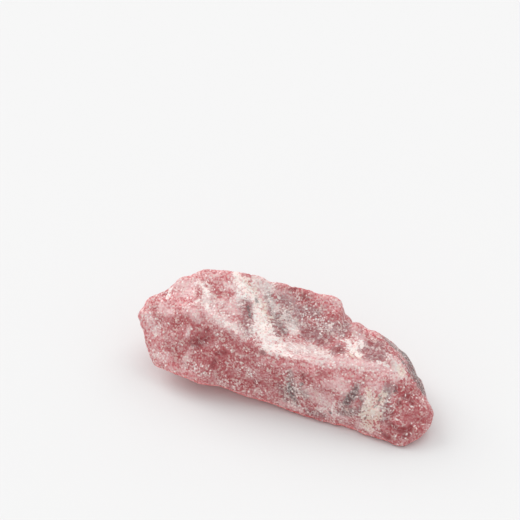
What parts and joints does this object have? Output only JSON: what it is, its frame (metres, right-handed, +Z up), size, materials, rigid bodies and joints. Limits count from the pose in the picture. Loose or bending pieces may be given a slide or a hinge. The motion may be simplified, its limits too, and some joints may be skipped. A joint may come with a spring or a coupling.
{
  "type": "rhodochrosite specimen",
  "caption": "Rough block of pink rhodochrosite with a pale vein, a hollowed top and a flat fracture face to lie on; a hand specimen for display.",
  "frame": {"origin": "middle of the stone's box, on the surface that it lies on", "axes": "+X along the stone towards its narrow nose, +Y to its back, +Z up"},
  "size_m": [0.0612, 0.0262, 0.0185],
  "materials": {
    "rose_stone": "broken, granular, between silky and dull"
  },
  "bodies": {
    "root": {"rhodochrosite": "rose_stone"}
  },
  "joints": []
}
